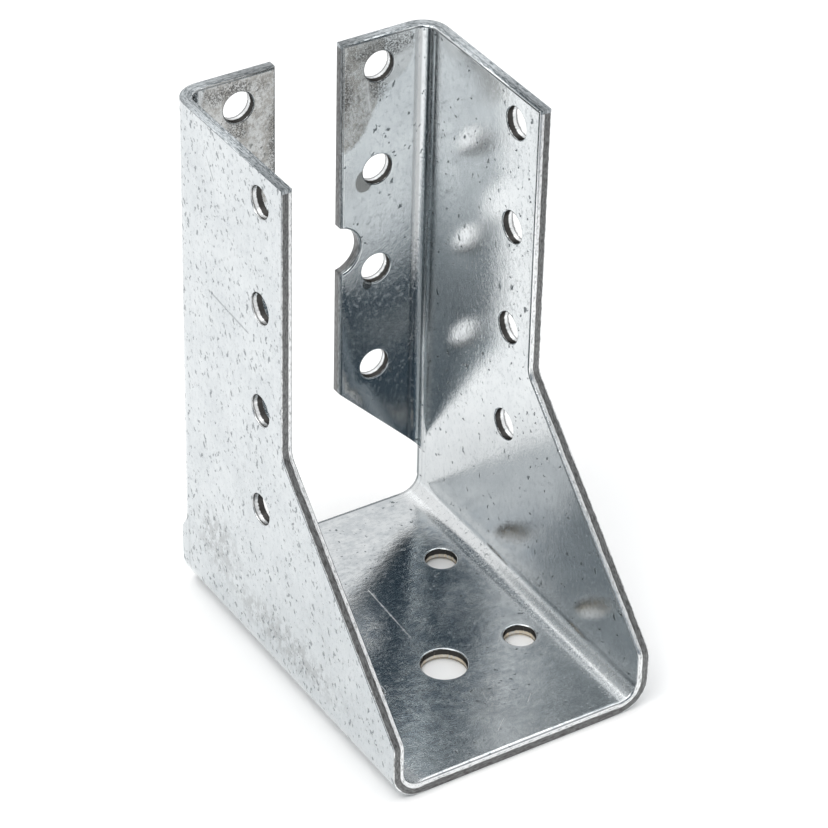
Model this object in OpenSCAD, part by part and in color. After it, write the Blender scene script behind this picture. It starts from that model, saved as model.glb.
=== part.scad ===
// Joist hanger with inward flanges, folded from one blank of galvanised sheet.
// X runs across the hanger, Y from its open front (-Y) to the header it is
// nailed to (+Y), Z up. The origin is under the middle of the overall box.

/* [Joist] */
// Width of the joist that drops in between the cheeks
joist_w = 40; // [30:1:90]
// Play between the joist and the two cheeks together
joist_play = 1; // [0.5:0.5:3]

/* [Sheet] */
// Thickness of the sheet
sheet = 2; // [1:0.1:3]
// Inside radius of the two bends along the seat
seat_bend_r = 3; // [1:0.1:5]
// Inside radius of the two upright bends at the flanges
flange_bend_r = 2.3; // [1:0.1:4]

/* [Cheeks and seat] */
// Height from the underside of the seat to the top edge
hanger_h = 87.5; // [80:0.5:150]
// Depth from the back of the flanges to the front of the seat
hanger_l = 64; // [56:0.5:100]
// Depth of the upright upper part of each cheek
cheek_l = 32; // [28:0.5:50]
// Height at which the front edge of a cheek starts to slope forward
knee_h = 42; // [30:0.5:60]
// Height of the short upright end of that slope, at the front of the seat
nose_h = 10; // [8:0.5:16]
// Radius of the inward corner at the knee
knee_r = 3; // [1:0.5:8]
// Radius of the outward corner above the nose
nose_r = 2; // [0.5:0.5:4]
// Distance from the back of the flanges to the back edge of the seat
seat_inset = 1.8; // [0.5:0.1:3]

/* [Flanges] */
// Width of a flange, from the outside of its cheek to its inner edge
flange_w = 16.8; // [15.5:0.1:19]
// Height at which the slanting lower edge meets the inner edge
flange_cut_h = 25.4; // [22:0.1:28]
// Slope of the lower edge, down towards the cheek
flange_cut_deg = 45; // [40:1:50]
// Radius where the lower edge runs into the neck
neck_r = 1.6; // [0.8:0.1:1.8]
// Diameter of the round notch in the inner edge
notch_d = 8.4; // [6:0.1:9]
// Depth of the notch
notch_depth = 3.4; // [2:0.1:4]
// Rise of the notch above the last nail hole but one
notch_rise = 4.8; // [3:0.1:7]

/* [Holes] */
// Diameter of the nail holes
nail_d = 5; // [3:0.1:5.5]
// Nail holes in each column
nail_rows = 4; // [2:1:6]
// Distance from the top edge to the first nail hole
nail_top = 5; // [4:0.1:7]
// Distance from the corner of a flange's lower edge up to its last nail hole
nail_foot = 3.7; // [3.5:0.1:6]
// Distance from the inner edge of a flange to its nail holes
flange_nail_edge = 6.3; // [5.5:0.1:7.5]
// Distance from the front edge of a cheek to its nail holes
cheek_nail_edge = 6; // [4.5:0.1:9]
// Distance across the seat between its nail holes
seat_nail_gap = 27.4; // [16:0.1:28]
// Distance from the front of the seat to its first row of holes
seat_front_row = 21.5; // [10:0.5:26]
// Distance between the two rows of holes in the seat
seat_row_gap = 22.5; // [12:0.5:26]
// Diameter of the bolt hole in the middle of the seat
bolt_d = 7.2; // [5:0.1:10]
// Radius that the punch rolls over at the mouth of each hole
roll_r = 0.3; // [0.1:0.05:0.5]

/* [Hidden] */
$fn = 48;
arc_steps = 8;                            // flats in the rounded corners of the outlines
cut_over = 1;                             // how far a cut runs past the metal
inner_w = joist_w + joist_play;
outer_w = inner_w + 2 * sheet;
back_y = hanger_l / 2;                    // back faces of the flanges
front_y = -hanger_l / 2;                  // front edge of the seat
cheek_front_y = back_y - cheek_l;
seat_back_y = back_y - seat_inset;
bend_y = back_y - sheet - flange_bend_r;  // where the upright bend starts
flange_edge_x = outer_w / 2 - flange_w;
bend_x = inner_w / 2 - flange_bend_r;     // where the upright bend ends
flat_h = sheet + seat_bend_r;             // where the flat of a cheek starts
seat_flat_x = inner_w / 2 - seat_bend_r;  // where the flat of the seat ends
// height of the slanting edge where it reaches the inside of the cheek
neck_h = flange_cut_h - (inner_w / 2 - flange_edge_x) * tan(flange_cut_deg);
neck_fade_h = neck_h + 2 * sheet;         // the flat neck has died into the bend
slope_deg = atan2(knee_h - nose_h, cheek_front_y - front_y);
nail_pitch = (hanger_h - nail_top - flange_cut_h - nail_foot) / (nail_rows - 1);
nail_heights = [for (i = [0:nail_rows - 1]) flange_cut_h + nail_foot + i * nail_pitch];
notch_h = nail_heights[1] + notch_rise;
flange_nail_x = flange_edge_x + flange_nail_edge;
cheek_nail_y = cheek_front_y + cheek_nail_edge;
seat_rows_y = [front_y + seat_front_row, front_y + seat_front_row + seat_row_gap];

// the part above, and its twin on the other side
module both_sides() {
    children();
    mirror([1, 0, 0]) children();
}

// puts a flat outline drawn in Y and Z across the hanger, x1 to x2
module across(x1, x2) {
    translate([x1, 0, 0]) rotate([90, 0, 90]) linear_extrude(x2 - x1) children();
}

// puts a flat outline drawn in X and Z along the hanger, y1 to y2
module along(y1, y2) {
    translate([0, y2, 0]) rotate([90, 0, 0]) linear_extrude(y2 - y1) children();
}

// quarter bend of height h standing on the origin, round the Z axis, from +X to +Y
module quarter_bend(inside_r, h) {
    rotate_extrude(angle = 90) translate([inside_r, 0]) square([sheet, h]);
}

// points of an arc from angle a to angle b
function arc(centre, r, a, b) =
    [for (i = [0:arc_steps]) let (t = a + (b - a) * i / arc_steps) centre + r * [cos(t), sin(t)]];

// points that round a corner of an outline to the radius r; from and to are
// the directions in which its two edges leave the corner
function rounded(corner, from, to, r) =
    let (
        turn = to > from ? 1 : -1,
        mid = (from + to) / 2,
        centre = corner + r / abs(sin(mid - from)) * [cos(mid), sin(mid)]
    )
    arc(centre, r, from - 90 * turn, to - 270 * turn);

// flat of a cheek in Y and Z, with the neck that runs back below the flange
module cheek_outline() {
    polygon(concat(
        [
            [front_y, flat_h], [seat_back_y, flat_h], [seat_back_y, neck_h],
            [bend_y, neck_fade_h], [bend_y, hanger_h], [cheek_front_y, hanger_h]
        ],
        rounded([cheek_front_y, knee_h], 90, 180 + slope_deg, knee_r),
        rounded([front_y, nose_h], slope_deg, -90, nose_r)
    ));
}

// the flat of the seat
module seat() {
    translate([-seat_flat_x, front_y, 0]) cube([2 * seat_flat_x, seat_back_y - front_y, sheet]);
}

// one cheek and the bend that joins it to the seat
module cheek() {
    across(inner_w / 2, outer_w / 2) cheek_outline();
    translate([seat_flat_x, seat_back_y, flat_h])
        rotate([90, 0, 0]) rotate([0, 0, -90]) quarter_bend(seat_bend_r, seat_back_y - front_y);
}

// what is cut away below the slanting edge of a flange, seen from the front, in X and Z
module below_flange() {
    neck_x = inner_w / 2;
    run = neck_x - flange_edge_x + cut_over;
    polygon(concat(
        [[neck_x - run, 0], [neck_x, 0]],
        rounded([neck_x, neck_h], 270, 180 - flange_cut_deg, neck_r),
        [[neck_x - run, neck_h + run * tan(flange_cut_deg)]]
    ));
}

// what is cut away behind the neck, seen from the side, in Y and Z
module behind_neck() {
    run = back_y - seat_back_y + cut_over;
    polygon(concat(
        [[seat_back_y, 0], [seat_back_y + run, 0], [seat_back_y + run, neck_h + run * tan(flange_cut_deg)]],
        rounded([seat_back_y, neck_h], flange_cut_deg, -90, neck_r)
    ));
}

// one flange and the upright bend that joins it to its cheek
module flange() {
    difference() {
        union() {
            translate([flange_edge_x, back_y - sheet, flat_h])
                cube([bend_x - flange_edge_x, sheet, hanger_h - flat_h]);
            translate([bend_x, bend_y, flat_h]) quarter_bend(flange_bend_r, hanger_h - flat_h);
        }
        along(bend_y - cut_over, back_y + cut_over) below_flange();
        across(flange_edge_x - cut_over, outer_w / 2 + cut_over) behind_neck();
    }
}

// punched hole along +Z through a sheet from z = 0 down, its mouth rolled over
module punched_hole(d) {
    translate([0, 0, -sheet - cut_over]) cylinder(d = d, h = sheet + 2 * cut_over);
    rotate_extrude() difference() {
        translate([0, -roll_r]) square([d / 2 + roll_r, roll_r + cut_over]);
        translate([d / 2 + roll_r, -roll_r]) circle(r = roll_r, $fn = 16);
    }
}

// nail holes of both flanges, punched from the front
module flange_holes() {
    for (z = nail_heights)
        translate([flange_nail_x, back_y - sheet, z]) rotate([90, 0, 0]) punched_hole(nail_d);
}

// nail holes of a cheek, punched from the inside
module cheek_holes() {
    for (z = nail_heights)
        translate([inner_w / 2, cheek_nail_y, z]) rotate([0, -90, 0]) punched_hole(nail_d);
}

// round notch in the inner edge of a flange
module flange_notch() {
    translate([flange_edge_x + notch_depth - notch_d / 2, back_y + cut_over, notch_h])
        rotate([90, 0, 0]) cylinder(d = notch_d, h = sheet + 2 * cut_over);
}

// two nail holes in each row of the seat, and the bolt hole between the first two
module seat_holes() {
    for (y = seat_rows_y)
        translate([seat_nail_gap / 2, y, sheet]) punched_hole(nail_d);
}

module hanger() {
    color([0.72, 0.75, 0.77]) difference() {
        union() {
            seat();
            both_sides() {
                cheek();
                flange();
            }
        }
        both_sides() {
            flange_holes();
            flange_notch();
            cheek_holes();
            seat_holes();
        }
        translate([0, seat_rows_y[0], sheet]) punched_hole(bolt_d);
    }
}

hanger();
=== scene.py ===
"""Joist hanger of galvanised sheet: its finish, and the table, light and camera it is shown with."""

import math

import bmesh
import bpy
from mathutils import Matrix, Vector


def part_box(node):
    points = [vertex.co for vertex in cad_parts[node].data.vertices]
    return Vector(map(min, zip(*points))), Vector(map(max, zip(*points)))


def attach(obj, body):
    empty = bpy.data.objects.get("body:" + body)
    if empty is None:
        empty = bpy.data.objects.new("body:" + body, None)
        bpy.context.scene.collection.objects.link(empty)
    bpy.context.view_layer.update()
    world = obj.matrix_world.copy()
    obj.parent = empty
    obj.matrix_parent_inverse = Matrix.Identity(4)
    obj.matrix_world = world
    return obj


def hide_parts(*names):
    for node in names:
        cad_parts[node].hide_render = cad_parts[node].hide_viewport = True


bl_info = {
    "name": "Joist Hanger",
    "version": (1, 0, 0),
    "blender": (4, 5, 0),
    "location": "View3D > Sidebar > Hanger",
    "description": "Finishes a folded galvanised joist hanger and sets it on a studio table",
    "category": "Object",
}

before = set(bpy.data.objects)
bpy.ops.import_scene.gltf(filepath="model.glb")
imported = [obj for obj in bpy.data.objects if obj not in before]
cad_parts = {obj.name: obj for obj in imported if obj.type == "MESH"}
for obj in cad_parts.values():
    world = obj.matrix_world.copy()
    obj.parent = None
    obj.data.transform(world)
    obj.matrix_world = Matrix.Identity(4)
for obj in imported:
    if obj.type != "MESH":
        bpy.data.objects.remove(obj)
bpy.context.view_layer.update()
MM = 0.001
BLANK = "blank"                 # attribute that holds each point's place on the flat blank
WELD = 0.0002 * MM              # corners closer than this are one
FLAT = math.radians(0.4)        # faces that turn by less than this are one
COATED, SHEARED, PUNCHED = 0, 1, 2      # places of the three finishes on the sheet

# ---------------------------------------------------------------- settings


class HangerSheetSettings(bpy.types.PropertyGroup):
    """Where the sheet is folded, and how its sheared edges are rounded."""

    thickness: bpy.props.FloatProperty(
        name="Thickness", description="Thickness of the sheet",
        default=2.0 * MM, min=0.5 * MM, max=4 * MM, subtype="DISTANCE", unit="LENGTH")
    seat_bend: bpy.props.FloatProperty(
        name="Seat Bend", description="Inside radius of the bends along the seat",
        default=3.0 * MM, min=0.5 * MM, max=6 * MM, subtype="DISTANCE", unit="LENGTH")
    flange_bend: bpy.props.FloatProperty(
        name="Flange Bend", description="Inside radius of the upright bends",
        default=2.3 * MM, min=0.5 * MM, max=6 * MM, subtype="DISTANCE", unit="LENGTH")
    neck_top: bpy.props.FloatProperty(
        name="Neck Top", description="Height below which the foot of a cheek stays flat behind the bend",
        default=11.5 * MM, min=0, max=30 * MM, subtype="DISTANCE", unit="LENGTH")
    neck_foot: bpy.props.FloatProperty(
        name="Neck Foot", description="Lower end of the tight corner that is left sharp",
        default=9.5 * MM, min=0, max=30 * MM, subtype="DISTANCE", unit="LENGTH")
    neck_head: bpy.props.FloatProperty(
        name="Neck Head", description="Upper end of the tight corner that is left sharp",
        default=13.5 * MM, min=0, max=30 * MM, subtype="DISTANCE", unit="LENGTH")
    rolled_edge: bpy.props.FloatProperty(
        name="Rolled Edge", description="Width of the edge that the shear rolls over, on the inside",
        default=0.45 * MM, min=0, max=1 * MM, subtype="DISTANCE", unit="LENGTH")
    plain_edge: bpy.props.FloatProperty(
        name="Plain Edge", description="Width of the eased edge on the other side",
        default=0.2 * MM, min=0, max=1 * MM, subtype="DISTANCE", unit="LENGTH")
    edge_steps: bpy.props.IntProperty(
        name="Edge Steps", description="Flats across each rounded edge", default=3, min=1, max=6)
    widest_hole: bpy.props.FloatProperty(
        name="Widest Hole", description="Walls in a ring narrower than this belong to a punched hole",
        default=8 * MM, min=1 * MM, max=20 * MM, subtype="DISTANCE", unit="LENGTH")
    sharp_from: bpy.props.FloatProperty(
        name="Sharp From", description="Edges that turn by more than this are rounded",
        default=math.radians(35), min=0, max=math.pi, subtype="ANGLE", unit="ROTATION")


class HangerZincSettings(bpy.types.PropertyGroup):
    """Colours of the coating and of the bare edges."""

    zinc: bpy.props.FloatVectorProperty(
        name="Zinc", description="Clean coating",
        default=(0.70, 0.725, 0.735), size=3, min=0, max=1, subtype="COLOR")
    dull_zinc: bpy.props.FloatVectorProperty(
        name="Dull Zinc", description="Coating where it has dulled",
        default=(0.50, 0.53, 0.55), size=3, min=0, max=1, subtype="COLOR")
    blue_zinc: bpy.props.FloatVectorProperty(
        name="Blue Zinc", description="Bluish bloom on the coating of the seat",
        default=(0.27, 0.33, 0.39), size=3, min=0, max=1, subtype="COLOR")
    # Also paints the painted highlight on the roll of the front edges.
    rubbed: bpy.props.FloatVectorProperty(
        name="Rubbed Metal", description="Metal rubbed or cut bright, along edges, bends and scratches",
        default=(0.86, 0.87, 0.875), size=3, min=0, max=1, subtype="COLOR")
    # Also paints painted shade: the line where the inner skin turns, and the far end of the upright bends.
    worn: bpy.props.FloatVectorProperty(
        name="Worn Metal", description="Grey smudges, and the lighter parts of a torn edge",
        default=(0.36, 0.37, 0.375), size=3, min=0, max=1, subtype="COLOR")
    # Also paints painted shade: dark lines in the upright bends and where the inner skin turns.
    fleck: bpy.props.FloatVectorProperty(
        name="Fleck", description="Small dark pits in the coating",
        default=(0.13, 0.15, 0.16), size=3, min=0, max=1, subtype="COLOR")
    stain: bpy.props.FloatVectorProperty(
        name="Stain", description="Dried stain",
        default=(0.335, 0.33, 0.315), size=3, min=0, max=1, subtype="COLOR")
    bare_steel: bpy.props.FloatVectorProperty(
        name="Bare Steel", description="Dark fracture in a torn edge or a punched hole",
        default=(0.06, 0.058, 0.056), size=3, min=0, max=1, subtype="COLOR")
    warm_steel: bpy.props.FloatVectorProperty(
        name="Warm Steel", description="Wall of a hole in the seat",
        default=(0.74, 0.65, 0.52), size=3, min=0, max=1, subtype="COLOR")


class HangerStageSettings(bpy.types.PropertyGroup):
    """Table, light and camera."""

    table: bpy.props.FloatVectorProperty(
        name="Table", description="Colour of the table", default=(0.95, 0.95, 0.95), size=3, min=0, max=1,
        subtype="COLOR")
    table_size: bpy.props.FloatProperty(
        name="Table Size", description="Side of the table", default=6.0, min=1, subtype="DISTANCE",
        unit="LENGTH")
    room: bpy.props.FloatProperty(
        name="Room", description="Brightness of the room", default=1.0, min=0, max=4)
    shade: bpy.props.FloatVectorProperty(
        name="Shade", description="Dark side of the room, behind the camera",
        default=(0.09, 0.13, 0.165), size=3, min=0, max=1, subtype="COLOR")
    azimuth: bpy.props.FloatProperty(
        name="Azimuth", description="Direction the camera looks in, from the header's side to the right",
        default=math.radians(32.856), subtype="ANGLE", unit="ROTATION")
    elevation: bpy.props.FloatProperty(
        name="Elevation", description="How far the camera looks down", default=math.radians(35.143),
        subtype="ANGLE", unit="ROTATION")
    roll: bpy.props.FloatProperty(
        name="Roll", description="Lean of the camera", default=math.radians(1.405), subtype="ANGLE",
        unit="ROTATION")
    distance: bpy.props.FloatProperty(
        name="Distance", description="Camera to the middle of the hanger", default=553.87 * MM,
        min=0.1, subtype="DISTANCE", unit="LENGTH")
    lens: bpy.props.FloatProperty(
        name="Lens", description="Focal length of the camera, in millimetres", default=163.22, min=10,
        unit="CAMERA")
    aim: bpy.props.FloatVectorProperty(
        name="Aim", description="Point the camera looks at", default=(0.232 * MM, 0.0, 41.909 * MM), size=3,
        subtype="XYZ", unit="LENGTH")


# ---------------------------------------------------------------- the sheet, unfolded


class Fold:
    """Turns a point of the hanger into a place on its flat blank.

    u runs along the strip that makes the seat and both cheeks, v runs from the front
    to the header and on along the flanges, and w is the depth from the outer skin.
    """

    def __init__(self, sheet):
        low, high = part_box("hanger")
        self.t = sheet.thickness
        self.within = self.t * 1.01             # a little more than the sheet's depth
        self.half = high.x                      # outside of a cheek
        self.seat_r = sheet.seat_bend
        self.flange_r = sheet.flange_bend
        self.seat_flat = self.half - self.t - self.seat_r
        self.cheek_foot = self.t + self.seat_r
        self.bend_x = self.half - self.t - self.flange_r
        self.bend_y = high.y - self.t - self.flange_r
        self.back = high.y
        self.front = low.y
        self.neck_top = sheet.neck_top
        self.seat_run = math.pi / 2 * (self.seat_r + self.t / 2)
        self.cheek_end = self.seat_flat + self.seat_run + high.z - self.cheek_foot
        self.flange_run = math.pi / 2 * (self.flange_r + self.t / 2)

    def place(self, p):
        """The place (u, v, w) on the blank of the point p of the hanger."""
        side, x = math.copysign(1, p.x), abs(p.x)
        if p.z < self.cheek_foot and x > self.seat_flat:
            dx, dz = x - self.seat_flat, self.cheek_foot - p.z
            u = self.seat_flat + self.seat_run * math.atan2(dx, dz) / (math.pi / 2)
            return Vector((side * u, p.y, self.cheek_foot - math.hypot(dx, dz)))
        if p.z <= self.within and x <= self.seat_flat:
            return Vector((side * x, p.y, p.z))
        u = side * (self.seat_flat + self.seat_run + p.z - self.cheek_foot)
        if p.y <= self.bend_y or (p.z < self.neck_top and x > self.half - self.within):
            return Vector((u, p.y, self.half - x))
        if x > self.bend_x:
            dx, dy = x - self.bend_x, p.y - self.bend_y
            v = self.bend_y + self.flange_run * math.atan2(dy, dx) / (math.pi / 2)
            return Vector((u, v, self.flange_r + self.t - math.hypot(dx, dy)))
        return Vector((u, self.bend_y + self.flange_run + self.bend_x - x, self.back - p.y))


# ---------------------------------------------------------------- shader nodes

FLOAT, VECTOR = "NodeSocketFloat", "NodeSocketVector"


def add(tree, kind, sockets=None, **settings):
    """A node of that kind; sockets maps an input's name or number to a value or to a socket to link."""
    node = tree.nodes.new(kind)
    for name, value in settings.items():
        setattr(node, name, value)
    for key, value in (sockets or {}).items():
        if isinstance(value, bpy.types.NodeSocket):
            tree.links.new(value, node.inputs[key])
        else:
            node.inputs[key].default_value = value
    return node


def maths(tree, operation, a, b=0.0, c=0.0, clamp=False):
    """A sum, product or other operation on up to three numbers or sockets."""
    return add(tree, "ShaderNodeMath", {0: a, 1: b, 2: c}, operation=operation, use_clamp=clamp).outputs[0]


def times(tree, first, *others):
    """The product of all of them."""
    for other in others:
        first = maths(tree, "MULTIPLY", first, other)
    return first


def most(tree, first, *others):
    """The greatest of all of them."""
    for other in others:
        first = maths(tree, "MAXIMUM", first, other)
    return first


def opposite(tree, mask):
    """1 where the mask is 0, and 0 where it is 1."""
    return maths(tree, "SUBTRACT", 1.0, mask)


def moved_by(tree, value, waves, reach):
    """The value, moved to and fro by up to half of reach, as the noise in waves says."""
    return maths(tree, "MULTIPLY_ADD", maths(tree, "SUBTRACT", waves, 0.5), reach, value)


def ramp(tree, value, low, high, to_low=0.0, to_high=1.0, smooth=True):
    """Value from low to high, taken to the range from to_low to to_high."""
    return add(tree, "ShaderNodeMapRange",
               {"Value": value, "From Min": low, "From Max": high, "To Min": to_low, "To Max": to_high},
               interpolation_type="SMOOTHSTEP" if smooth else "LINEAR", clamp=True).outputs[0]


def mix(tree, factor, a, b):
    """Colour a where factor is 0 and b where it is 1; each is a socket or a plain colour."""
    node = add(tree, "ShaderNodeMix", {0: factor}, data_type="RGBA")
    for key, colour in ((6, a), (7, b)):
        if isinstance(colour, bpy.types.NodeSocket):
            tree.links.new(colour, node.inputs[key])
        else:
            node.inputs[key].default_value = (*colour, 1)
    return node.outputs[2]


def band(tree, value, low, high, soft):
    """1 while value lies between low and high, fading to 0 over soft on both sides."""
    rise = ramp(tree, value, low - soft, low + soft)
    return times(tree, rise, ramp(tree, value, high - soft, high + soft, 1.0, 0.0))


def noise(tree, vector, scale, detail=2.0, roughness=0.5):
    """Noise of 0 to 1 round a mean of 0.5; scale is its waves in a metre."""
    return add(tree, "ShaderNodeTexNoise",
               {"Vector": vector, "Scale": scale, "Detail": detail, "Roughness": roughness},
               noise_dimensions="3D").outputs["Fac"]


def stretched(tree, vector, scale, location=(0, 0, 0)):
    """The vector scaled, which draws a pattern out where the scale is under 1."""
    return add(tree, "ShaderNodeMapping",
               {"Vector": vector, "Location": location, "Scale": scale}).outputs[0]


def effect(name, inputs):
    """An empty node group with those inputs and the output Mask, and its input and output nodes."""
    group = bpy.data.node_groups.new(name, "ShaderNodeTree")
    for socket, kind, default in inputs:
        made = group.interface.new_socket(name=socket, in_out="INPUT", socket_type=kind)
        made.default_value = default
    group.interface.new_socket(name="Mask", in_out="OUTPUT", socket_type=FLOAT)
    return group, group.nodes.new("NodeGroupInput"), group.nodes.new("NodeGroupOutput")


def mask_of(tree, group, sockets):
    """The mask that a group of nodes gives with those inputs."""
    return add(tree, "ShaderNodeGroup", sockets, node_tree=group).outputs["Mask"]


def fleck_effect():
    """Small elongated pits scattered over the sheet: Mask is 1 inside one."""
    group, given, out = effect(
        "coating flecks",
        [("Vector", VECTOR, (0, 0, 0)), ("Turn", FLOAT, 0.0), ("Spacing", FLOAT, 0.0016),
         ("Length", FLOAT, 3.0), ("Share", FLOAT, 0.5), ("Size", FLOAT, 0.3)])
    rough = add(group, "ShaderNodeTexNoise",
                {"Vector": given.outputs["Vector"], "Scale": 1700.0, "Detail": 2.0})
    shift = add(group, "ShaderNodeVectorMath", {0: rough.outputs["Color"], 1: (0.5, 0.5, 0.5)},
                operation="SUBTRACT")
    small = add(group, "ShaderNodeVectorMath", {0: shift.outputs[0], "Scale": 0.0009}, operation="SCALE")
    moved = add(group, "ShaderNodeVectorMath", {0: given.outputs["Vector"], 1: small.outputs[0]})
    spin = add(group, "ShaderNodeVectorRotate",
               {"Vector": moved.outputs[0], "Angle": given.outputs["Turn"]}, rotation_type="Z_AXIS")
    parts = add(group, "ShaderNodeSeparateXYZ", {0: spin.outputs[0]})
    long = maths(group, "DIVIDE", parts.outputs[0], given.outputs["Length"])
    drawn = add(group, "ShaderNodeCombineXYZ", {0: long, 1: parts.outputs[1], 2: parts.outputs[2]})
    step = maths(group, "DIVIDE", 1.0, given.outputs["Spacing"])
    cells = add(group, "ShaderNodeTexVoronoi", {"Vector": drawn.outputs[0], "Scale": step},
                feature="F1", voronoi_dimensions="3D")
    pick = add(group, "ShaderNodeSeparateColor", {0: cells.outputs["Color"]})
    chosen = maths(group, "LESS_THAN", pick.outputs[0], given.outputs["Share"])
    part = ramp(group, pick.outputs[1], 0.0, 1.0, 0.4, 1.0, smooth=False)
    radius = times(group, part, given.outputs["Size"])
    inner = times(group, radius, 0.7)
    hit = add(group, "ShaderNodeMapRange",
              {"Value": cells.outputs["Distance"], "From Min": inner, "From Max": radius, "To Min": 1.0,
               "To Max": 0.0}, clamp=True)
    group.links.new(times(group, hit.outputs[0], chosen), out.inputs["Mask"])
    return group


def patch_effect():
    """A soft-edged patch round a point: Mask is 1 in the middle of it."""
    group, given, out = effect(
        "patch",
        [("Vector", VECTOR, (0, 0, 0)), ("Centre", VECTOR, (0, 0, 0)),
         ("Reach", VECTOR, (0.01, 0.01, 0.01)), ("Ragged", FLOAT, 0.5), ("Grain", FLOAT, 300.0),
         ("Soft", FLOAT, 0.35)])
    away = add(group, "ShaderNodeVectorMath", {0: given.outputs["Vector"], 1: given.outputs["Centre"]},
               operation="SUBTRACT")
    sized = add(group, "ShaderNodeVectorMath", {0: away.outputs[0], 1: given.outputs["Reach"]},
                operation="DIVIDE")
    far = add(group, "ShaderNodeVectorMath", {0: sized.outputs[0]}, operation="LENGTH")
    edge = add(group, "ShaderNodeTexNoise",
               {"Vector": given.outputs["Vector"], "Scale": given.outputs["Grain"], "Detail": 4.0,
                "Roughness": 0.65})
    reach = moved_by(group, far.outputs["Value"], edge.outputs["Fac"], given.outputs["Ragged"])
    full = opposite(group, given.outputs["Soft"])
    group.links.new(ramp(group, reach, full, 1.0, 1.0, 0.0), out.inputs["Mask"])
    return group


def scratch_effect():
    """A fine straight scratch between two points of the sheet: Mask is 1 on it."""
    group, given, out = effect(
        "scratch",
        [("Vector", VECTOR, (0, 0, 0)), ("From", VECTOR, (0, 0, 0)), ("To", VECTOR, (0.01, 0, 0)),
         ("Width", FLOAT, 0.00012)])
    run = add(group, "ShaderNodeVectorMath", {0: given.outputs["To"], 1: given.outputs["From"]},
              operation="SUBTRACT")
    off = add(group, "ShaderNodeVectorMath", {0: given.outputs["Vector"], 1: given.outputs["From"]},
              operation="SUBTRACT")
    along = add(group, "ShaderNodeVectorMath", {0: off.outputs[0], 1: run.outputs[0]},
                operation="DOT_PRODUCT")
    whole = add(group, "ShaderNodeVectorMath", {0: run.outputs[0], 1: run.outputs[0]},
                operation="DOT_PRODUCT")
    share = maths(group, "DIVIDE", along.outputs["Value"], whole.outputs["Value"], clamp=True)
    foot = add(group, "ShaderNodeVectorMath", {0: run.outputs[0], "Scale": share}, operation="SCALE")
    gap = add(group, "ShaderNodeVectorMath", {0: off.outputs[0], 1: foot.outputs[0]}, operation="DISTANCE")
    worn = noise(group, given.outputs["Vector"], 700.0, 2.0)
    width = times(group, given.outputs["Width"], ramp(group, worn, 0.35, 0.6, 0.7, 1.2))
    node = add(group, "ShaderNodeMapRange",
               {"Value": gap.outputs["Value"], "From Min": 0.0, "From Max": width, "To Min": 1.0,
                "To Max": 0.0}, clamp=True)
    group.links.new(node.outputs[0], out.inputs["Mask"])
    return group


def new_material(name, metallic=0.0):
    """A material with a plain Principled surface, its node tree and that surface."""
    material = bpy.data.materials.new(name)
    material.use_nodes = True
    tree = material.node_tree
    tree.nodes.clear()
    surface = add(tree, "ShaderNodeBsdfPrincipled", {"Metallic": metallic})
    add(tree, "ShaderNodeOutputMaterial", {"Surface": surface.outputs[0]})
    return material, tree, surface


class Here:
    """Sockets that tell where on the blank, and on which skin, a point of the surface lies."""

    def __init__(self, tree, fold):
        place = add(tree, "ShaderNodeAttribute", attribute_type="GEOMETRY", attribute_name=BLANK)
        self.blank = place.outputs["Vector"]
        u, self.v, self.depth = add(tree, "ShaderNodeSeparateXYZ", {0: self.blank}).outputs
        self.across = maths(tree, "ABSOLUTE", u)
        self.outer = ramp(tree, self.depth, fold.t * 0.45, fold.t * 0.55, 1.0, 0.0)
        self.inner = opposite(tree, self.outer)
        self.in_seat = ramp(tree, self.across, fold.seat_flat - 1.5 * MM, fold.seat_flat + 1 * MM, 1.0, 0.0)
        self.in_flange = ramp(tree, self.v, fold.bend_y - 3 * MM, fold.bend_y)
        top = fold.cheek_end
        self.below_top = ramp(tree, self.across, top - 0.7 * MM, top - 0.55 * MM, 1.0, 0.0)
        self.front_edge = times(tree, self.below_top, opposite(tree, self.in_flange))

    def along(self, tree, u, v):
        """Distance over the blank in the direction (u, v)."""
        node = add(tree, "ShaderNodeVectorMath", {0: self.blank, 1: (u, v, 0)}, operation="DOT_PRODUCT")
        return node.outputs["Value"]


def painted(tree, colour, *coats):
    """The colour under coats of paint, each given as a mask, its thickness there, and the paint."""
    for mask, thickness, paint in coats:
        colour = mix(tree, times(tree, mask, thickness), colour, paint)
    return colour


def in_mm(*place):
    """A place given in millimetres, in metres."""
    return tuple(c * MM for c in place)


# Marks on the coating, as centre and reach in millimetres on the blank (u, v, w).
DULL_STAINS = (((104, 45, 2), (7.5, 7, 1)), ((98.5, 46, 2), (11, 7, 1)), ((-99, 42, 2), (16, 10, 1)))
FAINT_STAINS = (((103, 38, 2), (5.4, 5.2, 1)),)
DARK_STAINS = (((104.2, 38, 2), (2.6, 9, 1)), ((98, 45, 2), (7, 1.8, 1)),
               ((98.2, 39.4, 2), (3.3, 3.1, 1)), ((-104.4, 38, 2), (2.4, 9, 1)),
               ((-93, 45, 2), (11, 1.7, 1)), ((-98, 38.6, 2), (3.4, 3.3, 1)))
SPOTS = (((82.1, 41.4, 2), (2.1, 1.7, 1)), ((63.4, 40.6, 2), (1.2, 0.9, 1)))
RIMS = (((0, -10.5, 2), (4.7, 4.7, 1)), ((13.7, -10.5, 2), (3.6, 3.6, 1)),
        ((-13.7, -10.5, 2), (3.6, 3.6, 1)), ((13.7, 12, 2), (3.6, 3.6, 1)),
        ((-13.7, 12, 2), (3.6, 3.6, 1)))
SMEARS = (((-28, -1, 0), (4.5, 22, 1)), ((-33, 19, 0), (7, 9, 1)))

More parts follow.
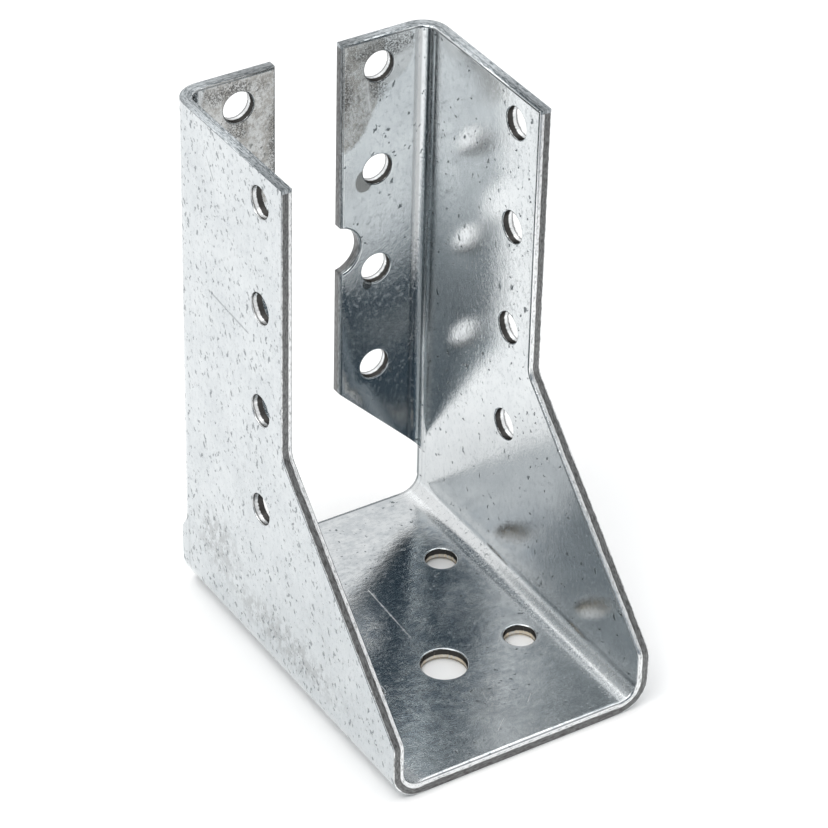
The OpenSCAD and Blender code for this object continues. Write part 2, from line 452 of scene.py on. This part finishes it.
# Scratches, as two ends and a width in millimetres on the blank.
DARK_SCRATCHES = (((-78.3, 20.7, 0), (-77.4, 9.4, 0), 0.26), ((-101, 21, 0), (-98, 19, 0), 0.2))
LIGHT_SCRATCHES = (((-0.4, 10.9, 2), (-1, -2.6, 2), 0.22), ((-1.5, -27.8, 2), (0.6, -26, 2), 0.2),
                   ((6, -24.5, 2), (7.4, -23.1, 2), 0.15), ((99.2, 41.2, 2), (94.2, 40.6, 2), 0.3))

# Kinds of fleck: turn in degrees, spacing in millimetres, length over width, and size.
DROPS = (24, 0.85, 2.3, 0.35)
NICKS = (-22, 1.1, 3.0, 0.27)
PITS = (64, 0.7, 1.4, 0.36)
SCUFFS = (8, 0.6, 2.0, 0.34)


class Coating:
    """The galvanised coating of both skins: its shared noises, and the masks of what marks it."""

    def __init__(self, fold, flecks, patch, scratch):
        self.material, self.tree, self.surface = new_material("galvanised_coating", metallic=1.0)
        self.fold, self.flecks, self.patch, self.scratch = fold, flecks, patch, scratch
        tree = self.tree
        self.here = Here(tree, fold)
        drawn = stretched(tree, self.here.blank, (0.75, 1.0, 1.0))
        self.mottle = noise(tree, drawn, 700.0, 5.0, 0.7)
        self.grain = noise(tree, drawn, 2600.0, 4.0, 0.75)
        self.speckle = ramp(tree, noise(tree, drawn, 1500.0, 3.0, 0.65), 0.53, 0.63)

    def patches(self, places, ragged, grain, soft):
        """The greatest of several patches."""
        masks = []
        for centre, reach in places:
            sockets = {"Vector": self.here.blank, "Centre": in_mm(*centre), "Reach": in_mm(*reach),
                       "Ragged": ragged, "Grain": grain, "Soft": soft}
            masks.append(mask_of(self.tree, self.patch, sockets))
        return most(self.tree, *masks)

    def scratches(self, lines):
        """The greatest of several scratches."""
        masks = []
        for start, end, width in lines:
            sockets = {"Vector": self.here.blank, "From": in_mm(*start), "To": in_mm(*end),
                       "Width": width * MM}
            masks.append(mask_of(self.tree, self.scratch, sockets))
        return most(self.tree, *masks)

    def strokes(self, kind, share):
        """Flecks of one kind, on that share of their places."""
        turn, spacing, length, size = kind
        sockets = {"Vector": self.here.blank, "Turn": math.radians(turn), "Spacing": spacing * MM,
                   "Length": length, "Share": share, "Size": size}
        return mask_of(self.tree, self.flecks, sockets)

    def dulled(self):
        """Clouds and blotches, more of them on the outer skin and in the seat."""
        tree, here = self.tree, self.here
        cloud = noise(tree, here.blank, 90.0, 3.0, 0.55)
        thick = maths(tree, "MULTIPLY_ADD", here.in_seat, 0.4, 0.2)
        blotch = times(tree, ramp(tree, self.mottle, 0.40, 0.62), thick)
        dull = maths(tree, "ADD", ramp(tree, cloud, 0.36, 0.66, 0.0, 0.25), blotch)
        dull = maths(tree, "MULTIPLY_ADD", here.outer, 0.28, dull)
        return maths(tree, "MULTIPLY_ADD", self.speckle, 0.3, dull, clamp=True)

    def bloom(self):
        """Mottled bloom over the seat, thin along the front; it also fades in two corners that face each
        other, a painted reflection where the seat looks lighter.
        """
        tree, here = self.tree, self.here
        moved = stretched(tree, here.blank, (0.8, 1.0, 1.0), (0.01, 0, 0))
        cells = ramp(tree, noise(tree, moved, 620.0, 6.0, 0.72), 0.46, 0.56)
        # Painted reflection: the bloom fades towards the front right and the back left, so the seat is
        # lighter there.
        painted_reflection_front_right = ramp(tree, here.along(tree, 0.84, -0.54), 8 * MM, 14 * MM, 1.0, 0.25)
        painted_reflection_back_left = ramp(tree, here.along(tree, -0.78, 1.0), 7 * MM, 11 * MM, 1.0, 0.12)
        front = ramp(tree, here.v, -31 * MM, -15 * MM, 0.25, 1.0)
        return times(tree, cells, here.in_seat, painted_reflection_front_right, painted_reflection_back_left, front)

    def flecked(self, share):
        """Dark pits and strokes, a little weaker on the outer skin."""
        tree = self.tree
        drops = self.strokes(DROPS, share)
        nicks = self.strokes(NICKS, times(tree, share, 0.8))
        weight = maths(tree, "MULTIPLY_ADD", self.here.outer, -0.2, 0.9)
        return times(tree, most(tree, drops, nicks, self.strokes(PITS, 0.15)), weight)

    def stains(self):
        """Dried stains on the inner skin, round the top holes: full, faint and their dark crust; and dark
        spots beside two lower holes.
        """
        tree, inner = self.tree, self.here.inner
        full = times(tree, inner, self.patches(DULL_STAINS, ragged=0.25, grain=220.0, soft=0.08))
        faint = times(tree, inner, self.patches(FAINT_STAINS, ragged=0.2, grain=220.0, soft=0.1))
        dark = self.patches(DARK_STAINS, ragged=1.6, grain=420.0, soft=0.8)
        granules = ramp(tree, noise(tree, self.here.blank, 3600.0, 3.0, 0.8), 0.44, 0.54)
        crust = times(tree, inner, dark, granules)
        spot = times(tree, inner, self.patches(SPOTS, ragged=0.3, grain=500.0, soft=0.15))
        return full, faint, crust, spot

    def painted_bend_shade(self):
        """Upright bends, painted shade: dark stripes along them, a dark painted shade line on the inner
        skin where it creases, and painted shade over the far end of the bend, which narrows its highlight.
        """
        tree, here, start, run = self.tree, self.here, self.fold.bend_y, self.fold.flange_run
        shade_streaks = noise(tree, stretched(tree, here.blank, (0.015, 1.0, 1.0)), 1500.0, 2.0, 0.6)
        bend = band(tree, here.v, start, start + run, 0.5 * MM)
        shade_streaks = times(tree, bend, ramp(tree, shade_streaks, 0.52, 0.64, 0.0, 0.2))
        crease_shade = band(tree, here.v, start + run * 0.36, start + run * 0.46, 0.06 * MM)
        shaded_shoulder = band(tree, here.v, start + run * 0.68, start + run, 0.2 * MM)
        return shade_streaks, times(tree, crease_shade, here.inner), times(tree, shaded_shoulder, here.inner)

    def creased(self):
        """The inside of the seat bends, rubbed bright."""
        start, run = self.fold.seat_flat, self.fold.seat_run
        rubbed = band(self.tree, self.here.across, start - 0.5 * MM, start + run * 0.7, 0.8 * MM)
        return times(self.tree, rubbed, self.here.inner)

    def rounded(self):
        """Masks of the rounded edges, by depth: the line where the inner skin turns, for a painted shadow
        line; the part the shear rolls over, for a painted highlight along the front; and the eased part.
        """
        tree, depth, t = self.tree, self.here.depth, self.fold.t
        turn = band(tree, depth, t - 0.12 * MM, t - 0.03 * MM, 0.02 * MM)
        rolled_highlight = band(tree, depth, t / 2, t - 0.12 * MM, 0.03 * MM)
        return turn, rolled_highlight, band(tree, depth, 0.03 * MM, t / 2, 0.02 * MM)

    def relief(self, hollows):
        """Fine bumps of the coating, with its hollows, and the lip along the front of the seat."""
        tree, here, front = self.tree, self.here, self.fold.front
        height = maths(tree, "MULTIPLY_ADD", self.grain, 0.5, self.mottle)
        for hollow in hollows:
            height = maths(tree, "SUBTRACT", height, hollow)
        fine = add(tree, "ShaderNodeBump", {"Height": height, "Strength": 0.22, "Distance": 0.12 * MM})
        lip = ramp(tree, here.v, front, front + 0.9 * MM, 1.0, 0.0, smooth=False)
        lip = times(tree, lip, lip, here.in_seat, here.inner)
        lipped = add(tree, "ShaderNodeBump", {"Height": opposite(tree, lip), "Strength": 1.0,
                                              "Distance": 0.25 * MM, "Normal": fine.outputs[0]})
        return lipped.outputs[0]


def zinc_material(zinc, fold, flecks, patch, scratch):
    """Galvanised coating: mottled, pitted with flecks, stained, rubbed and lightly scratched, with painted
    highlight and painted shade on its edges and upright bends, and painted reflection on the seat.
    """
    coat = Coating(fold, flecks, patch, scratch)
    tree, here, surface = coat.tree, coat.here, coat.surface

    dull = coat.dulled()
    rims = coat.patches(RIMS, ragged=0.3, grain=900.0, soft=0.25)
    colour = mix(tree, dull, zinc.zinc, zinc.dull_zinc)
    # The bloom is partly painted reflection: it fades in two corners of the seat.
    colour = painted(tree, colour, (coat.bloom(), 0.54, zinc.blue_zinc), (rims, 0.45, zinc.rubbed))

    smeared = coat.patches(SMEARS, ragged=0.9, grain=260.0, soft=0.7)
    share = maths(tree, "MULTIPLY_ADD", here.outer, 0.7, 0.08)
    share = maths(tree, "MULTIPLY_ADD", smeared, 0.35, share)
    scuffs = times(tree, coat.strokes(SCUFFS, share), here.outer)
    smudge = times(tree, smeared, ramp(tree, coat.mottle, 0.44, 0.55))
    spotted = coat.flecked(share)
    colour = painted(tree, colour, (scuffs, 0.4, zinc.worn), (smudge, 0.65, zinc.worn),
                     (spotted, 1.0, zinc.fleck))

    stained, faint, crust, spot = coat.stains()
    uneven = maths(tree, "MULTIPLY_ADD", coat.grain, 0.9, coat.mottle)
    uneven = ramp(tree, uneven, 0.86, 1.06, 0.55, 1.0)
    colour = painted(tree, colour, (faint, 0.3, zinc.stain), (stained, uneven, zinc.stain),
                     (crust, 0.8, zinc.bare_steel), (spot, 0.7, zinc.stain), (spot, 0.45, zinc.bare_steel))

    scored = coat.scratches(DARK_SCRATCHES)
    bright = coat.scratches(LIGHT_SCRATCHES)
    # Painted shade on the upright bends, over their real reflection: dark stripes, a dark line and a darker
    # far end.
    shade_streaks, crease_shade, shaded_shoulder = coat.painted_bend_shade()
    creased = coat.creased()
    colour = painted(tree, colour, (scored, 0.7, zinc.fleck), (bright, 0.65, zinc.rubbed),
                     (shade_streaks, 1.0, zinc.fleck), (crease_shade, 0.8, zinc.fleck), (shaded_shoulder, 0.7, zinc.worn),
                     (creased, 0.35, zinc.rubbed))

    # Painted light on the rounded edges: a painted highlight on the roll along the front edges, a painted
    # shadow line where the inner skin turns, and the eased outer edge painted darker.
    turn, rolled_highlight, eased = coat.rounded()
    highlit_front = painted(tree, colour, (rolled_highlight, 0.8, zinc.rubbed))
    shaded_elsewhere = painted(tree, colour, (turn, 0.6, zinc.worn))
    colour = mix(tree, here.front_edge, shaded_elsewhere, highlit_front)
    colour = painted(tree, colour, (eased, 0.6, zinc.worn), (turn, 0.6, zinc.fleck))
    tree.links.new(colour, surface.inputs["Base Color"])

    rough = 0.085
    for mask, more in ((dull, 0.06), (coat.speckle, 0.14), (bright, 0.3), (spotted, 0.2), (stained, 0.15),
                       (creased, 0.12), (here.in_seat, -0.04)):
        rough = maths(tree, "MULTIPLY_ADD", mask, more, rough)
    tree.links.new(rough, surface.inputs["Roughness"])
    tree.links.new(coat.relief((spotted, scored)), surface.inputs["Normal"])
    return coat.material


def edge_material(zinc, fold):
    """Sheared edge: cut smooth next to the inner skin, torn towards the outer one.

    Round the front of the cheeks and the seat the cut is bright and the tear dark. The flanges' edges are
    dark, and the top edges grey and streaked.
    """
    material, tree, surface = new_material("sheared_edge", metallic=1.0)
    here = Here(tree, fold)
    lines = noise(tree, stretched(tree, here.blank, (0.25, 0.25, 1.0)), 4600.0, 4.0, 0.75)
    waves = noise(tree, stretched(tree, here.blank, (1.0, 1.0, 0.0)), 400.0, 3.0)
    level = moved_by(tree, here.depth, lines, 0.35 * MM)
    level = moved_by(tree, level, waves, 0.3 * MM)
    in_tear = band(tree, level, 0.22 * MM, 1.22 * MM, 0.06 * MM)
    low = times(tree, here.in_seat, ramp(tree, level, 1.30 * MM, 1.50 * MM, 1.0, 0.0))
    ridge = band(tree, level, 1.12 * MM, 1.22 * MM, 0.05 * MM)

    bright_cut = mix(tree, ramp(tree, lines, 0.46, 0.66), zinc.rubbed, zinc.worn)
    dark_cut = mix(tree, ramp(tree, lines, 0.40, 0.60), zinc.dull_zinc, zinc.fleck)
    flange = times(tree, here.in_flange, here.below_top)
    dark_cut = painted(tree, dark_cut, (flange, 0.5, zinc.bare_steel))
    cut = mix(tree, here.front_edge, dark_cut, bright_cut)
    dark_tear = mix(tree, ramp(tree, lines, 0.38, 0.60, 0.1, 0.55), zinc.bare_steel, zinc.worn)
    top_tear = mix(tree, ramp(tree, lines, 0.34, 0.58), zinc.fleck, zinc.dull_zinc)
    tear = mix(tree, here.below_top, top_tear, dark_tear)
    colour = mix(tree, most(tree, in_tear, low), cut, tear)
    colour = painted(tree, colour, (ridge, 0.5, zinc.bare_steel))
    tree.links.new(colour, surface.inputs["Base Color"])
    tree.links.new(ramp(tree, lines, 0.3, 0.7, 0.28, 0.5), surface.inputs["Roughness"])
    bump = add(tree, "ShaderNodeBump", {"Height": lines, "Strength": 0.35, "Distance": 0.1 * MM})
    tree.links.new(bump.outputs[0], surface.inputs["Normal"])
    return material


def hole_material(zinc, fold):
    """Wall of a punched hole: dark towards the inner skin, then bright to a dark ring; warm in the seat."""
    material, tree, surface = new_material("punched_wall", metallic=1.0)
    surface.inputs["Specular Tint"].default_value = (0.35, 0.35, 0.35, 1)
    here = Here(tree, fold)
    lines = noise(tree, stretched(tree, here.blank, (1.0, 1.0, 0.15)), 3000.0, 3.0, 0.65)
    level = moved_by(tree, here.depth, lines, 0.4 * MM)
    ring = times(tree, band(tree, level, 0.22 * MM, 0.42 * MM, 0.05 * MM), 0.7)
    dark = most(tree, band(tree, level, 0.95 * MM, 1.9 * MM, 0.08 * MM), ring)
    colour = mix(tree, here.in_seat, zinc.rubbed, zinc.warm_steel)
    colour = mix(tree, ramp(tree, lines, 0.45, 0.70), colour, zinc.zinc)
    colour = mix(tree, dark, colour, zinc.bare_steel)
    tree.links.new(colour, surface.inputs["Base Color"])
    tree.links.new(ramp(tree, lines, 0.3, 0.7, 0.25, 0.45), surface.inputs["Roughness"])
    return material


# ---------------------------------------------------------------- operators


def link(obj):
    """Puts the object in the scene."""
    bpy.context.scene.collection.objects.link(obj)
    return obj


def linked_groups(parts, corners):
    """The edges or faces in groups that hang together; corners gives what joins one to the next."""
    left, groups = dict.fromkeys(parts), []
    while left:
        group = [left.popitem()[0]]
        for part in group:
            for other in (other for corner in corners(part) for other in corner if other in left):
                del left[other]
                group.append(other)
        groups.append(group)
    return groups


def sharp_loops(bm, fold, sheet, depth):
    """Loops of sharp edges at that depth in the sheet, but for the tight corner of each neck."""
    def at_depth(edge):
        return all(abs(fold.place(v.co).z - depth) < fold.t / 10 for v in edge.verts)

    def in_neck(edge):
        return any(v.co.y > fold.bend_y and sheet.neck_foot < v.co.z < sheet.neck_head for v in edge.verts)

    edges = [e for e in bm.edges if e.is_manifold and e.calc_face_angle() > sheet.sharp_from
             and at_depth(e) and not in_neck(e)]
    return linked_groups(edges, lambda edge: [v.link_edges for v in edge.verts])


def rounded_edges(bm, fold, sheet):
    """Rolls the edges of the inner skin over and eases those of the outer one, each loop by itself."""
    work = [(loop, sheet.rolled_edge) for loop in sharp_loops(bm, fold, sheet, fold.t)]
    work += [(loop, sheet.plain_edge) for loop in sharp_loops(bm, fold, sheet, 0)]
    for loop, width in work:
        bmesh.ops.bevel(bm, geom=loop, offset=width, offset_type="OFFSET", affect="EDGES",
                        segments=sheet.edge_steps, profile=0.5, material=-1, clamp_overlap=True,
                        loop_slide=False)
    for v in bm.verts:
        v.co.x = max(-fold.half, min(fold.half, v.co.x))


def is_wall(fold, face):
    """Does the face run through the thickness of the sheet, along a sheared edge or a hole?"""
    here = face.calc_center_median()
    probe = 0.05 * MM
    deeper = fold.place(here + face.normal * probe).z - fold.place(here).z
    return abs(deeper) < 0.7 * probe


def cut_across(bm, fold):
    """Divides the walls with many corners, so that each part spans the sheet where the strip bends."""
    many = [f for f in bm.faces if len(f.verts) > 4 and is_wall(fold, f)]
    bmesh.ops.triangulate(bm, faces=many, quad_method="BEAUTY", ngon_method="BEAUTY")


def set_finishes(bm, fold, sheet):
    """Coated skin, sheared edge or punched wall: walls in a ring no wider than a hole are punched."""
    for face in bm.faces:
        face.smooth = True
        face.material_index = COATED
    walls = [f for f in bm.faces if is_wall(fold, f)]
    for group in linked_groups(walls, lambda face: [e.link_faces for e in face.edges]):
        spots = [v.co for f in group for v in f.verts]
        width = max(max(p[i] for p in spots) - min(p[i] for p in spots) for i in range(3))
        for face in group:
            face.material_index = PUNCHED if width < sheet.widest_hole else SHEARED


class HANGER_OT_sheet(bpy.types.Operator):
    """Make the folded sheet with rounded sheared edges and its galvanised finish"""

    bl_idname = "hanger.sheet"
    bl_label = "Folded Sheet"

    def execute(self, context):
        scene = context.scene
        sheet, zinc = scene.hanger_sheet, scene.hanger_zinc
        fold = Fold(sheet)
        bm = bmesh.new()
        bm.from_mesh(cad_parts["hanger"].data)
        bmesh.ops.remove_doubles(bm, verts=bm.verts, dist=WELD)
        bmesh.ops.dissolve_limit(bm, angle_limit=FLAT, verts=bm.verts, edges=bm.edges)
        rounded_edges(bm, fold, sheet)
        cut_across(bm, fold)
        if any(not e.is_manifold for e in bm.edges):
            raise RuntimeError("the rounded sheet isn't closed")
        set_finishes(bm, fold, sheet)
        mesh = bpy.data.meshes.new("folded_sheet")
        bm.to_mesh(mesh)
        bm.free()
        places = [fold.place(v.co) for v in mesh.vertices]
        blank = mesh.attributes.new(BLANK, "FLOAT_VECTOR", "POINT")
        blank.data.foreach_set("vector", [c for p in places for c in p])
        hanger = link(bpy.data.objects.new("folded_sheet", mesh))
        shade = hanger.modifiers.new("even shading", "WEIGHTED_NORMAL")
        shade.mode = "FACE_AREA"
        shade.weight = 80
        coated = zinc_material(zinc, fold, fleck_effect(), patch_effect(), scratch_effect())
        for material in (coated, edge_material(zinc, fold), hole_material(zinc, fold)):
            mesh.materials.append(material)
        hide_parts("hanger")
        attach(hanger, "root")
        return {"FINISHED"}


# Softboxes: name, place, point lit, side, power and colour.
SOFTBOXES = (("top_softbox", (0.05, 0.2, 0.9), (0, 0, 0.02), 0.9, 2.4, (1, 1, 1)),
             ("left_softbox", (-0.45, -0.15, 0.75), (0, 0, 0), 0.6, 3.9, (1.0, 0.985, 0.96)))


def softbox(name, place, aim, side, power, colour):
    """A square lamp at that place, turned to the point that it lights."""
    light = bpy.data.lights.new(name, "AREA")
    light.shape = "SQUARE"
    light.size = side
    light.energy = power
    light.color = colour
    lamp = link(bpy.data.objects.new(name, light))
    lamp.location = place
    lamp.rotation_euler = (Vector(aim) - Vector(place)).to_track_quat("-Z", "Y").to_euler()


class HANGER_OT_stage(bpy.types.Operator):
    """Set the table, the soft light and the camera"""

    bl_idname = "hanger.stage"
    bl_label = "Stage"

    def execute(self, context):
        scene = context.scene
        stage = scene.hanger_stage
        self.table(stage)
        self.room(scene, stage)
        for box in SOFTBOXES:
            softbox(*box)
        self.camera(scene, stage)
        scene.view_settings.view_transform = "Standard"
        return {"FINISHED"}

    def table(self, stage):
        """The flat top that the hanger stands on."""
        bm = bmesh.new()
        bmesh.ops.create_grid(bm, x_segments=1, y_segments=1, size=stage.table_size / 2)
        mesh = bpy.data.meshes.new("table")
        bm.to_mesh(mesh)
        bm.free()
        material, _, surface = new_material("white_table")
        surface.inputs["Base Color"].default_value = (*stage.table, 1)
        surface.inputs["Roughness"].default_value = 0.9
        mesh.materials.append(material)
        link(bpy.data.objects.new("table", mesh))

    def looking(self, stage):
        """The camera's axes, to its right, up and forward, before its roll."""
        a, e = stage.azimuth, stage.elevation
        forward = Vector((math.sin(a) * math.cos(e), math.cos(a) * math.cos(e), -math.sin(e)))
        right = Vector((math.cos(a), -math.sin(a), 0))
        return right, right.cross(forward), forward

    def room(self, scene, stage):
        """A white room that darkens towards the side that the camera stands on."""
        world = bpy.data.worlds.new("room")
        world.use_nodes = True
        tree = world.node_tree
        tree.nodes.clear()
        forward = self.looking(stage)[2]
        way = add(tree, "ShaderNodeTexCoord").outputs["Generated"]
        facing = add(tree, "ShaderNodeVectorMath", {0: way, 1: -forward}, operation="DOT_PRODUCT")
        shaded = ramp(tree, facing.outputs["Value"], 0.60, 0.90)
        colour = mix(tree, shaded, [stage.room] * 3, stage.shade)
        back = add(tree, "ShaderNodeBackground", {"Color": colour})
        add(tree, "ShaderNodeOutputWorld", {"Surface": back.outputs[0]})
        scene.world = world

    def camera(self, scene, stage):
        """The camera, at its distance from the point it looks at, with its roll."""
        right, up, forward = self.looking(stage)
        lean = Matrix.Rotation(-stage.roll, 3, forward)
        right, up = lean @ right, lean @ up
        camera = bpy.data.cameras.new("camera")
        camera.lens = stage.lens
        camera.sensor_width = 36
        camera.clip_start = 0.01
        holder = link(bpy.data.objects.new("camera", camera))
        place = Matrix.Translation(Vector(stage.aim) - forward * stage.distance)
        holder.matrix_world = place @ Matrix((right, up, -forward)).transposed().to_4x4()
        scene.camera = holder


class HANGER_PT_panel(bpy.types.Panel):
    """Shows the hanger's settings, with buttons that make the sheet and the stage"""

    bl_idname = "HANGER_PT_panel"
    bl_label = "Joist Hanger"
    bl_space_type = "VIEW_3D"
    bl_region_type = "UI"
    bl_category = "Hanger"

    def draw(self, context):
        for operator, group in ((HANGER_OT_sheet, "hanger_sheet"), (None, "hanger_zinc"),
                                (HANGER_OT_stage, "hanger_stage")):
            box = self.layout.box()
            settings = getattr(context.scene, group)
            for name in settings.bl_rna.properties.keys():
                if name not in ("rna_type", "name"):
                    box.prop(settings, name)
            if operator:
                box.operator(operator.bl_idname)


SETTINGS = {"hanger_sheet": HangerSheetSettings, "hanger_zinc": HangerZincSettings,
            "hanger_stage": HangerStageSettings}
CLASSES = (*SETTINGS.values(), HANGER_OT_sheet, HANGER_OT_stage, HANGER_PT_panel)


def register():
    for cls in CLASSES:
        bpy.utils.register_class(cls)
    for name, group in SETTINGS.items():
        setattr(bpy.types.Scene, name, bpy.props.PointerProperty(type=group))


def unregister():
    for name in SETTINGS:
        delattr(bpy.types.Scene, name)
    for cls in reversed(CLASSES):
        bpy.utils.unregister_class(cls)


def main():
    register()
    bpy.ops.hanger.sheet()
    bpy.ops.hanger.stage()


if __name__ == "__main__":
    main()
